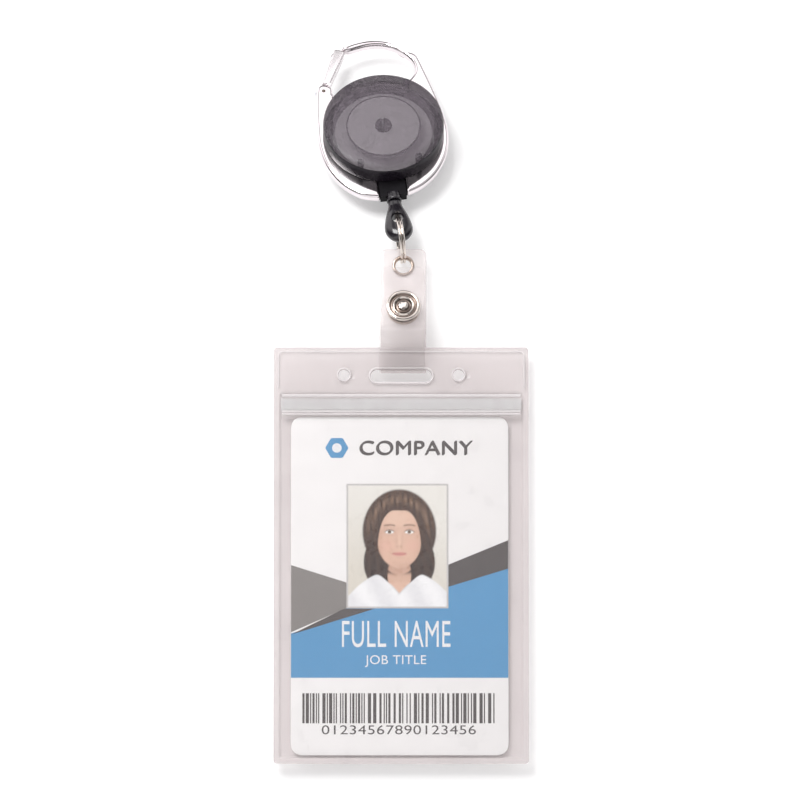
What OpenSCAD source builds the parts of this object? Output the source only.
// Retractable badge reel: a carabiner frame with a sprung gate round a translucent case, a wound cord
// with a cord stop, a split ring, a snap strap and a zip-top badge holder with its card.
// Millimetres, +Z up, front towards -Y. The origin is the seat of the hook, where the reel hangs.

/* [Reel] */
// Radius of the round case
case_r = 15.1; // [15:0.1:15.3]
// Thickness of the case, front to back
case_t = 11.5; // [11:0.1:12.5]
// Wall of the case
case_wall = 1.2; // [1:0.1:1.3]
// Thickness of the metal frame
frame_t = 2.4; // [2.2:0.1:2.6]
// How far the reel leans back, in degrees
lean = 24; // [23:0.5:25]
// How far the reel turns in its own plane, in degrees
twist = 7.6; // [7:0.1:8]

/* [Cord] */
// Diameter of the nylon cord
cord_d = 0.9; // [0.7:0.05:1]
// Radius of the flanges of the spool
flange_r = 12.2; // [11.8:0.1:12.3]
// Length of the cord stop
stop_len = 12.1; // [11.8:0.1:12.4]
// Largest radius of the cord stop
stop_r = 3.55; // [3.4:0.05:3.7]

/* [Ring] */
// Radius of the split ring at the middle of its wire
ring_r = 5.5; // [5.4:0.1:5.6]
// Radial thickness of the ring wire
ring_wire = 0.8; // [0.7:0.05:0.8]

/* [Strap] */
// Width of the strap
strap_w = 11.4; // [10.5:0.1:12]
// Thickness of one layer of the strap
strap_t = 0.6; // [0.5:0.05:0.6]
// Radius of the snap cap
cap_r = 4.3; // [4:0.1:4.6]

/* [Badge holder] */
// Width of the holder
holder_w = 63.3; // [62:0.1:66]
// Height of the holder
holder_h = 105.3; // [105:0.1:108]
// Width of the welded border
weld_w = 1.3; // [1:0.1:2]
// Thickness of each vinyl sheet
sheet_t = 0.45; // [0.4:0.05:0.5]
// Depth of the pocket between the two sheets
pocket_t = 1.8; // [1.6:0.1:2]
// Distance between the two round holes
hole_gap = 28.5; // [26:0.5:32]

/* [Hidden] */

$fn = 64;
gap = 0.05;                         // running clearance on a radius
skin = 0.02;                        // gap between two faces that are fitted together

// Reel, in its own upright frame: X right, Z up, front towards -Y, centre of the case at the origin
seat_r = 14;                        // hole in the frame that holds the case
ring_top_r = 16.8;                  // outer radius of the frame above the case
hook = [0.5, 27.75];                // seat of the hook
back_t = 5;                         // depth of the case behind the middle of the frame
front_t = case_t - back_t;
edge_r = 1.6;                       // rounding of the case's edge
inner_r = 12.7;                     // cavity of the case
inner_back = back_t - case_wall;
inner_front = front_t - case_wall;
pin_at = [7.3, 11.6];               // case pins, mirrored to the four corners
pin_r = 0.9;
post_r = 2;

// Gate, measured from its pivot
pivot = [-13.1, 15.05];
gate_turn = 64;                     // direction of the closed gate, in degrees
gate_len = 13.7;
gate_in = 1.3;
gate_out = 1.7;
gate_pin_r = 0.5;
lug_out = 1.8;
lug_r = 2.25;                       // rounded end of the lug, which the heel of the gate follows
along = [cos(gate_turn), sin(gate_turn)];
outwards = [-along[1], along[0]];
tongue_r = 1.6;
tongue_t = 1.1;
slot_r = 2.3;

// Spool and spring
web_back = 0.5 - inner_back;
web_t = 0.7;
drum_r = 8.2;
drum_wall = 0.8;
front_flange = [0.6, 1.3];
cover = [inner_front - 1.3, inner_front - 1]; // disc in front of the spring
cover_r = 9.3;
winding_r = 11.35;                  // outside of the wound cord, under the lead
spring_turns = 7;
spring_strip = 0.12;

// Outlet
outlet_w = 3.3;                     // half width of the block
outlet_d = 1.2;                     // half depth of the block
outlet_z = [-19.4, -12.9];
collar_r = 1.9;
collar_z = [-20.6, -18.3];
stop_top = -20.7;
cord_r = cord_d / 2;
lead_r = winding_r + skin + cord_r; // the lead leaves the winding on a tangent
lead_z = -13.4;
lead_turn = acos(lead_r / -lead_z);
cord_route = [[-lead_r * sin(lead_turn), 1, -lead_r * cos(lead_turn)], [0, 0.2, lead_z], [0, 0, -16.4],
    [0, 0, -20.65]];

// Cord stop
stop_hole_z = -26.6;
stop_hole_r = 1.4;
stop_half_depth = 1.9;
knot_z = -23.6;
knot_r = 0.85;

// Split ring, which leans ring_back degrees less than the reel
ring_back = 10;
ring_turn = 0.7;                    // axial width of one turn
ring_slit = 0.08;

// Strap, in the upright plane through the eyelet
stop_hole = place([0, 0, stop_hole_z]);
ring_down = tilt([0, 0, -1], lean - ring_back);
ring_centre = stop_hole + ring_r * ring_down;
ring_axis = tilt([1, 0, 0], lean - ring_back);
low = [0, 0, -1] + ring_axis[2] * ring_axis;
hang = ring_centre + ring_r * low / norm(low);
eyelet_z = hang[2] - 1.1;
eyelet_r = 1.95;
eyelet_flange = 2.8;
eyelet_lean = 8;
strap_top = -56.6;
fold_r = 1.5;
fold_z = -86.6;
flap_gap = 0.1;
flap_top = -61.65;
snap_at = [-2.7, -73.4];            // snap on the back layer: forwards of the eyelet, height
snap_lean = 16;
snap_lift = 2.5;                    // from the back layer to the flap at the snap
stud_r = 1.45;
socket_r = 4.2;
flap_shift = -0.4;                  // the flap lies a little to the left of the back layer

// Badge holder, in the upright plane through the eyelet
holder_x = 7.6;
holder_y = hang[1];
holder_top = -81.85;
header_t = 1;
holder_corner = 0.7;
slot = [15.2, 3.2];
slot_z = -89.1;
hole_z = -88.8;
hole_r = 1.35;
zip_z = [-98.3, -94.2];
card = [53.98, 0.76, 85.6];
card_x = 7.2;
card_z = -185.15;

// A point or a direction of the upright reel, as it is once the reel is turned and leaned back
function turn(p) = [p[0] * cos(twist) - p[2] * sin(twist), p[1], p[0] * sin(twist) + p[2] * cos(twist)];
function tip(p, a) = [p[0], p[1] * cos(a) + p[2] * sin(a), -p[1] * sin(a) + p[2] * cos(a)];
function tilt(p, a) = tip(turn(p), a);
function place(p) = tilt([p[0] - hook[0], p[1], p[2] - hook[1]], lean);

// Smooth open curve through points
function blend(a, b, c, d, t) =
    0.5 * (2 * b + (c - a) * t + (2 * a - 5 * b + 4 * c - d) * t * t + (3 * b - a - 3 * c + d) * t * t * t);
function through(p, n = 5) = concat(
    [for (i = [0:len(p) - 2]) for (k = [0:n - 1])
        blend(p[max(i - 1, 0)], p[i], p[i + 1], p[min(i + 2, len(p) - 1)], k / n)],
    [p[len(p) - 1]]);
function arc(c, r, a0, a1, n = 12) =
    [for (k = [0:n]) c + r * [cos(a0 + (a1 - a0) * k / n), sin(a0 + (a1 - a0) * k / n)]];
// Strip of an even thickness along a curve
function side(p, i) =
    let (d = p[min(i + 1, len(p) - 1)] - p[max(i - 1, 0)]) [-d[1], d[0]] / norm(d);
function strip(p, t) = concat(
    [for (i = [0:len(p) - 1]) p[i] + side(p, i) * t / 2],
    [for (i = [len(p) - 1:-1:0]) p[i] - side(p, i) * t / 2]);

// Moves the upright reel to where it hangs
module in_reel() {
    rotate([-lean, 0, 0]) rotate([0, -twist, 0]) translate([-hook[0], 0, -hook[1]]) children();
}
// A flat outline of the upright reel, from depth a to depth b in front of its middle plane
module plate(a, b) {
    rotate([90, 0, 0]) translate([0, 0, a]) linear_extrude(b - a) children();
}
// An outline of radius and depth, turned round the axis of the case
module turned() {
    rotate([90, 0, 0]) rotate_extrude($fn = 96) children();
}
// A round bar of the upright reel, front to back
module through_bar(x, z, r, a, b) {
    translate([x, 0, z]) plate(a, b) circle(r);
}
// The four corners of the case where its pins stand
module at_pins() {
    for (sx = [-1, 1]) for (sz = [-1, 1]) translate([sx * pin_at[0], 0, sz * pin_at[1]]) children();
}
// The gate's own frame: X along the gate from its pivot, Y outwards
module at_pivot() {
    translate(pivot) rotate(gate_turn) children();
}
// A profile of depth and height, given the width of the strap
module strap_profile() {
    translate([hang[0] - strap_w / 2, hang[1], 0]) rotate([90, 0, 90]) linear_extrude(strap_w) children();
}
// The snap's own frame: Z out of the front of the strap, origin in the middle of the back layer
module at_snap() {
    translate([hang[0], hang[1] + snap_at[0], snap_at[1]]) rotate([90 - snap_lean, 0, 0]) children();
}
// The eyelet's own frame: Z out of the front of the strap
module at_eyelet() {
    translate([hang[0], hang[1], eyelet_z]) rotate([90 - eyelet_lean, 0, 0]) children();
}
// An outline of the holder, from depth a to depth b in front of its middle plane
module holder_plate(a, b) {
    translate([holder_x, holder_y, holder_top]) rotate([90, 0, 0]) translate([0, 0, a])
        linear_extrude(b - a) children();
}
module rounded(w, h, r) {
    union() {
        square([w - 2 * r, h], center = true);
        square([w, h - 2 * r], center = true);
        for (sx = [-1, 1]) for (sy = [-1, 1]) translate([sx * (w / 2 - r), sy * (h / 2 - r)]) circle(r);
    }
}
module cord_path(r) {
    for (i = [0:len(cord_route) - 2]) {
        a = cord_route[i];
        b = cord_route[i + 1];
        d = b - a;
        translate(a) rotate([0, acos(d[2] / norm(d)), atan2(d[1], d[0])]) cylinder(h = norm(d), r = r, $fn = 24);
        if (i > 0) translate(a) sphere(r + 0.03, $fn = 24);
    }
}

// Frame of the carabiner

module frame_outline() {
    polygon(concat(
        through([[-7.6, 27.6], [-4, 28.95], [0.5, 29.5], [4.6, 28.6], [7.1, 26.7], [8.6, 25]]),
        through([[9.9, 24.6], [11.5, 23.2], [13, 17.5], [14.6, 10.5], [15.8, 4], [16.1, -2], [14.9, -8],
            [11.8, -13.4], [7.8, -17], [3.4, -19]]),
        through([[-3.4, -19.5], [-8, -18.2], [-12.4, -14.2], [-15.4, -8.4], [-16.5, -2], [-16.3, 4],
            [-15.7, 10.5], [-15.1, 14.4]]),
        [for (x = [0, gate_len]) pivot + x * along + lug_out * outwards]));
}
module hook_opening() {
    polygon(concat(
        arc([0, 0], ring_top_r, 130, 64, 16),
        through([[9, 16.4], [10.2, 18], [10.4, 20.2], [9.5, 22.6], [7.3, 25], [4.2, 27.05],
            hook, [-3.6, 27.15], [-6.9, 26.1], [-9, 25]])));
}
// Room for the gate, closed and on its way in
module gate_sweep() {
    at_pivot() difference() {
        translate([0, -gate_in - 2.1]) square([gate_len + 0.2, 8]);
        circle(lug_r);
    }
}
module carabiner_frame() {
    color("silver") in_reel() difference() {
        plate(-frame_t / 2, frame_t / 2) difference() {
            frame_outline();
            hook_opening();
            gate_sweep();
            circle(seat_r, $fn = 96);
            for (sx = [-1, 1]) for (sz = [-1, 1])
                translate([sx * pin_at[0], sz * pin_at[1]]) circle(pin_r + 0.2);
            translate([0, -17]) square([2 * outlet_w + 2 * skin, 8], center = true);
        }
        through_bar(pivot[0], pivot[1], slot_r, -tongue_t / 2 - gap, tongue_t / 2 + gap);
        through_bar(pivot[0], pivot[1], gate_pin_r, -frame_t, frame_t);
    }
}

// Gate: its tongue sits between the two cheeks of the frame

module gate_bar() {
    difference() {
        union() {
            translate([1.2, -gate_in]) square([gate_len - 2, gate_in + gate_out]);
            translate([gate_len - 0.9, gate_out - 0.8]) circle(0.8);
            translate([gate_len - 0.9, 0.8 - gate_in]) circle(0.8);
            translate([gate_len - 1.1, 0.8 - gate_in]) square([1, gate_in + gate_out - 1.6]);
        }
        circle(lug_r + 0.1);
        // thumb ridges along the outer edge
        for (k = [0:6]) translate([4 + k, gate_out]) rotate(45) square(0.42, center = true);
    }
}
module gate_lever() {
    color("gainsboro") in_reel() difference() {
        union() {
            plate(-frame_t / 2, frame_t / 2) at_pivot() gate_bar();
            plate(-tongue_t / 2, tongue_t / 2) at_pivot() union() {
                circle(tongue_r);
                translate([0, -gate_in]) square([slot_r + 0.5, gate_in + tongue_r]);
            }
        }
        through_bar(pivot[0], pivot[1], gate_pin_r + gap, -frame_t, frame_t);
    }
}
module gate_pin() {
    color("dimgray") in_reel()
        through_bar(pivot[0], pivot[1], gate_pin_r, -frame_t / 2 - 0.15, frame_t / 2 + 0.15);
}
module gate_spring() {
    color("lightsteelblue") in_reel() translate([pivot[0], 0, pivot[1]]) rotate([90, 0, 0])
        rotate(gate_turn + 100) rotate_extrude(angle = 130)
            translate([tongue_r + 0.12, -0.25]) square([0.4, 0.5]);
}

// Case

module shell_profile(depth) {
    polygon(concat(
        [[0, depth]],
        arc([case_r - edge_r, depth - edge_r], edge_r, 90, 0, 8),
        [[case_r, frame_t / 2 + skin], [seat_r - 0.2, frame_t / 2 + skin], [seat_r - 0.2, skin],
            [inner_r, skin], [inner_r, depth - case_wall], [0, depth - case_wall]]));
}
module outlet_room() {
    translate([0, 0, -15.5]) cube([2 * outlet_w + 2 * skin, 2 * outlet_d + 2 * skin, 7.5], center = true);
}
module front_shell() {
    color([0.5, 0.46, 0.49, 0.5]) in_reel() difference() {
        union() {
            turned() shell_profile(front_t);
            at_pins() plate(0.5 - inner_back, front_t - 0.15) circle(pin_r);
            at_pins() plate(frame_t / 2 + skin, front_t - 0.15) circle(pin_r + 0.2);
        }
        outlet_room();
    }
}
module back_shell() {
    color([0.4, 0.37, 0.4, 0.6]) in_reel() difference() {
        union() {
            mirror([0, 1, 0]) turned() shell_profile(back_t);
            through_bar(0, 0, post_r, -inner_back - 0.2, inner_front - 0.3);
        }
        at_pins() plate(0.4 - inner_back, 1) circle(pin_r + skin);
        // slit that anchors the inner end of the power spring
        plate(web_back + 2.4, inner_front) translate([-0.3, -post_r - 1]) square([0.6, 2 * post_r + 2]);
        outlet_room();
    }
}

// Spool, power spring and wound cord

module spool() {
    color("whitesmoke") in_reel() turned() union() {
        translate([post_r + gap, web_back]) square([1.2, 1.9]);
        translate([post_r + gap, web_back]) square([flange_r - post_r - gap, web_t]);
        translate([drum_r - drum_wall, web_back]) square([drum_wall, cover[1] - web_back]);
        translate([post_r + gap, cover[0]]) square([cover_r - post_r - gap, cover[1] - cover[0]]);
        translate([drum_r - 0.1, front_flange[0]]) square([flange_r - drum_r + 0.1, front_flange[1] - front_flange[0]]);
    }
}
function spiral(r0, r1, n) =
    [for (k = [1:n * 20]) (r0 + (r1 - r0) * k / (n * 20)) * [cos(90 + k * 18), sin(90 + k * 18)]];
module power_spring() {
    tab = [[0, 0.2], [0, 2.1], [-0.25, 2.42]];
    color("slategray") in_reel() plate(web_back + 2.5, cover[0] - gap)
        polygon(strip(concat(tab, spiral(2.5, drum_r - drum_wall - 0.3, spring_turns)), spring_strip));
}
module cord_winding() {
    color("black") in_reel() turned()
        translate([drum_r + skin, web_back + web_t + skin])
            square([winding_r - drum_r - skin, front_flange[0] - web_back - web_t - 2 * skin]);
}
module cord_lead() {
    color("black") in_reel() cord_path(cord_r);
}

// Outlet of the cord

module outlet_block() {
    color([0.12, 0.11, 0.12]) in_reel() difference() {
        translate([-outlet_w, -outlet_d, outlet_z[0]])
            cube([2 * outlet_w, 2 * outlet_d, outlet_z[1] - outlet_z[0]]);
        turned() square([inner_r, 10], center = false);
        turned() translate([0, -10]) square([inner_r, 10]);
        cord_path(cord_r + 0.25);
        translate([0, 0, collar_z[0] - 1]) cylinder(h = collar_z[1] - collar_z[0] + 1, r = collar_r + skin);
    }
}
module nozzle_collar() {
    color([0.08, 0.08, 0.09]) in_reel() translate([0, 0, collar_z[0]]) difference() {
        cylinder(h = collar_z[1] - collar_z[0], r = collar_r);
        translate([0, 0, -1]) cylinder(h = 5, r = cord_r + 0.25);
        // flared mouth
        translate([0, 0, -0.01]) cylinder(h = 0.5, r1 = collar_r - 0.6, r2 = cord_r + 0.25);
    }
}

// Cord stop

module stop_round() {
    translate([0, 0, stop_top]) rotate_extrude() polygon(concat(
        [[0, 0]],
        through([[1.2, 0], [1.75, -1], [2.5, -3.6], [3.25, -6.2], [stop_r, -8.3], [3.2, -10.2],
            [2.1, -11.5], [0.9, 0.05 - stop_len], [0, -stop_len]], 4)));
}
module stop_side() {
    d = stop_half_depth;
    half = through([[0, 0.2], [1.1, 0.1], [1.35, -1], [d - 0.2, -3.6], [d, -6], [d, -8.6], [d - 0.5, -10.8],
        [0.9, -stop_len], [0, -stop_len - 0.1]], 4);
    translate([-5, 0, stop_top]) rotate([90, 0, 90]) linear_extrude(10)
        polygon(concat(half, [for (i = [len(half) - 2:-1:1]) [-half[i][0], half[i][1]]]));
}
module cord_stop() {
    color([0.07, 0.07, 0.08]) in_reel() difference() {
        intersection() {
            stop_round();
            stop_side();
        }
        through_bar(0, stop_hole_z, stop_hole_r, -4, 4);
        translate([0, 0, knot_z]) cylinder(h = 4, r = cord_r + skin);
        translate([0, 0, knot_z]) sphere(knot_r + 0.1);
    }
}
module cord_knot() {
    color("black") in_reel() union() {
        translate([0, 0, knot_z]) sphere(knot_r);
        translate([0, 0, knot_z]) cylinder(h = stop_top - knot_z - 0.02, r = cord_r);
    }
}

// Split ring: two turns side by side, joined over a short stretch

module split_ring() {
    color("silver") translate(ring_centre) rotate([ring_back - lean, 0, 0]) rotate([0, -twist, 0])
        rotate([0, 90, 0]) difference() {
            rotate_extrude($fn = 72) translate([ring_r - ring_wire / 2, -ring_turn])
                square([ring_wire, 2 * ring_turn]);
            rotate(20) rotate_extrude(angle = 340, $fn = 72) translate([ring_r - ring_wire, -ring_slit / 2])
                square([2 * ring_wire, ring_slit]);
        }
}

// Strap: the back layer goes round the header of the holder, and the flap snaps onto it

// A point of the strap, a distance down from a centre on its slope
function down(c, a, d) = c - d * [sin(a), cos(a)];
// Both layers run straight past the eyelet and the snap
module back_curve() {
    eye = [0, eyelet_z];
    polygon(strip(concat(
        [down(eye, eyelet_lean, eyelet_z - strap_top)],
        through([down(eye, eyelet_lean, 3.2), [-1.05, -67.3], down(snap_at, snap_lean, -3.6)]),
        through([down(snap_at, snap_lean, 3.6), [-2.6, -78.7], [0.2, -79.9], [2.3, -81.2], [2.9, -83],
            [2.4, -85.1], [fold_r, fold_z]]),
        arc([0, fold_z], fold_r, -15, -180, 11)), strap_t));
}
module flap_curve() {
    front = snap_at + snap_lift * [-cos(snap_lean), sin(snap_lean)];
    polygon(strip(concat(
        through([[-fold_r, fold_z + flap_gap], [-3.3, -83.6], [-5.2, -80.3], down(front, snap_lean, cap_r + 0.2)]),
        through([down(front, snap_lean, -cap_r - 0.2), [-2.6, -64.5], [-1.8, flap_top]])), strap_t));
}
module strap_corners(z) {
    r = 1.2;
    for (s = [-1, 1]) translate([hang[0] + s * (strap_w / 2 - r), hang[1] - 6, z - r]) rotate([-90, 0, 0])
        difference() {
            translate([s > 0 ? 0 : -2 * r, -2 * r, 0]) cube([2 * r, 2 * r, 12]);
            translate([0, 0, -1]) cylinder(h = 14, r = r);
        }
}
module strap_back() {
    color([0.85, 0.83, 0.83, 0.5]) difference() {
        strap_profile() back_curve();
        strap_corners(strap_top);
        at_eyelet() cylinder(h = 4, r = eyelet_r + 0.35, center = true);
        at_snap() cylinder(h = 3, r = 0.8, center = true);
    }
}
module strap_flap() {
    color([0.88, 0.86, 0.86, 0.5]) difference() {
        translate([flap_shift, 0, 0]) difference() {
            strap_profile() flap_curve();
            strap_corners(flap_top);
        }
        at_snap() translate([0, 0, snap_lift]) cylinder(h = 3, r = 0.8, center = true);
    }
}
module eyelet() {
    color("silver") at_eyelet() difference() {
        union() {
            cylinder(h = strap_t + 0.7, r = eyelet_r + 0.33, center = true);
            translate([0, 0, strap_t / 2 + gap]) cylinder(h = 0.35, r = eyelet_flange);
        }
        cylinder(h = 4, r = eyelet_r, center = true);
    }
}
module eyelet_washer() {
    color("silver") at_eyelet() translate([0, 0, -strap_t / 2 - 0.35]) difference() {
        cylinder(h = 0.35 - gap, r = eyelet_flange);
        translate([0, 0, -1]) cylinder(h = 3, r = eyelet_r + 0.35);
    }
}

// Snap: cap and socket on the flap, stud and post on the back layer

module snap_cap() {
    front = strap_t / 2 + 0.05;
    color("silver") at_snap() translate([0, 0, snap_lift]) union() {
        translate([0, 0, front]) rotate_extrude() polygon(concat(
            [[0, 0], [cap_r, 0]],
            arc([cap_r - 0.55, 0.5], 0.55, 0, 90, 6),
            [[2.7, 0.8], [2.2, 0.55], [0, 0.55]]));
        translate([0, 0, front]) cylinder(h = 1, r = 1.35);
        translate([0, 0, -front - 0.4]) cylinder(h = 2 * front + 0.4, r = 0.78);
    }
}
module snap_socket() {
    color("silver") at_snap() translate([0, 0, snap_lift - strap_t / 2 - 0.05]) difference() {
        mirror([0, 0, 1]) rotate_extrude() polygon(
            [[0, 0], [socket_r, 0], [socket_r, 0.45], [socket_r - 0.3, 0.6], [socket_r - 0.1, 0.8],
                [socket_r - 0.1, 1.2], [1.95, 1.2], [1.95, 0.4], [0, 0.4]]);
        cylinder(h = 3, r = 0.8, center = true);
    }
}
module snap_stud() {
    color("silver") at_snap() translate([0, 0, strap_t / 2 + 0.03]) difference() {
        rotate_extrude() polygon(
            [[0, 0], [3.4, 0], [3.4, 0.35], [stud_r + 0.1, 0.45], [stud_r, 0.7], [stud_r, 0.95], [1.1, 1.15], [0, 1.15]]);
        translate([0, 0, -1]) cylinder(h = 1.7, r = 0.8);
    }
}
module snap_post() {
    color("silver") at_snap() union() {
        translate([0, 0, -strap_t / 2 - 0.6]) rotate_extrude() polygon(
            [[0, 0.25], [1.2, 0.25], [1.5, 0], [2.6, 0], [3.3, 0.3], [3.4, 0.55], [0, 0.55]]);
        translate([0, 0, -strap_t / 2 - 0.1]) cylinder(h = strap_t + 0.7, r = 0.78);
    }
}

// Badge holder: two welded sheets with a hung header, a zip and a pocket

module holder_outline() {
    translate([0, -holder_h / 2]) rounded(holder_w, holder_h, holder_corner);
}
module header_holes() {
    translate([0, slot_z - holder_top]) union() {
        square([slot[0] - slot[1], slot[1]], center = true);
        for (s = [-1, 1]) translate([s * (slot[0] - slot[1]) / 2, 0]) circle(slot[1] / 2);
    }
    for (s = [-1, 1]) translate([s * hole_gap / 2, hole_z - holder_top]) circle(hole_r);
}
module pocket_outline() {
    low_z = -holder_h + weld_w;
    high_z = zip_z[1] - holder_top + 0.9;
    translate([0, (low_z + high_z) / 2]) rounded(holder_w - 2 * weld_w, high_z - low_z, 1.5);
}
// One sheet, s = 1 in front and s = -1 behind
module holder_sheet(s) {
    front = pocket_t / 2 + sheet_t;
    difference() {
        union() {
            holder_plate(min(skin / 2 * s, header_t / 2 * s), max(skin / 2 * s, header_t / 2 * s))
                holder_outline();
            holder_plate(min(0.1 * s, front * s), max(0.1 * s, front * s)) translate([0, -0.1])
                intersection() {
                    holder_outline();
                    translate([-holder_w, -holder_h - 1]) square([2 * holder_w, holder_h + 1 + zip_z[1] - holder_top + 2.2]);
                }
        }
        holder_plate(min(-s, pocket_t / 2 * s), max(-s, pocket_t / 2 * s)) pocket_outline();
        holder_plate(-3, 3) header_holes();
    }
}
module holder_front() {
    color([0.87, 0.84, 0.84, 0.4]) difference() {
        holder_sheet(1);
        // mouth of the pocket, above the zip
        holder_plate(0, 3) translate([0, zip_z[1] - holder_top + 0.35]) square([56, 0.4], center = true);
    }
}
module holder_back() {
    color([0.83, 0.8, 0.8, 0.4]) holder_sheet(-1);
}
module zip_bar(z0, z1, a, b) {
    holder_plate(a, b) translate([0, (z0 + z1) / 2 - holder_top]) square([holder_w - 2 * weld_w - 1, z1 - z0], center = true);
}
module zip_rib() {
    color([0.9, 0.88, 0.88, 0.7]) union() {
        zip_bar(-97.9, -94.9, -pocket_t / 2 + skin, -0.35);
        zip_bar(-96.7, -96.1, -0.4, 0.25);
    }
}
module zip_groove() {
    color([0.92, 0.9, 0.9, 0.7]) union() {
        zip_bar(-97.9, -94.9, 0.4, pocket_t / 2 - skin);
        for (z = [-97.5, -95.9]) zip_bar(z, z + 0.6, -0.2, 0.45);
    }
}
module id_card() {
    color("white") translate([card_x, holder_y, card_z + card[2] / 2]) rotate([90, 0, 0])
        linear_extrude(card[1], center = true) rounded(card[0], card[2], 3.18);
}

carabiner_frame();
gate_lever();
gate_pin();
gate_spring();
front_shell();
back_shell();
spool();
power_spring();
cord_winding();
cord_lead();
outlet_block();
nozzle_collar();
cord_stop();
cord_knot();
split_ring();
strap_back();
strap_flap();
eyelet();
eyelet_washer();
snap_cap();
snap_socket();
snap_stud();
snap_post();
holder_front();
holder_back();
zip_rib();
zip_groove();
id_card();
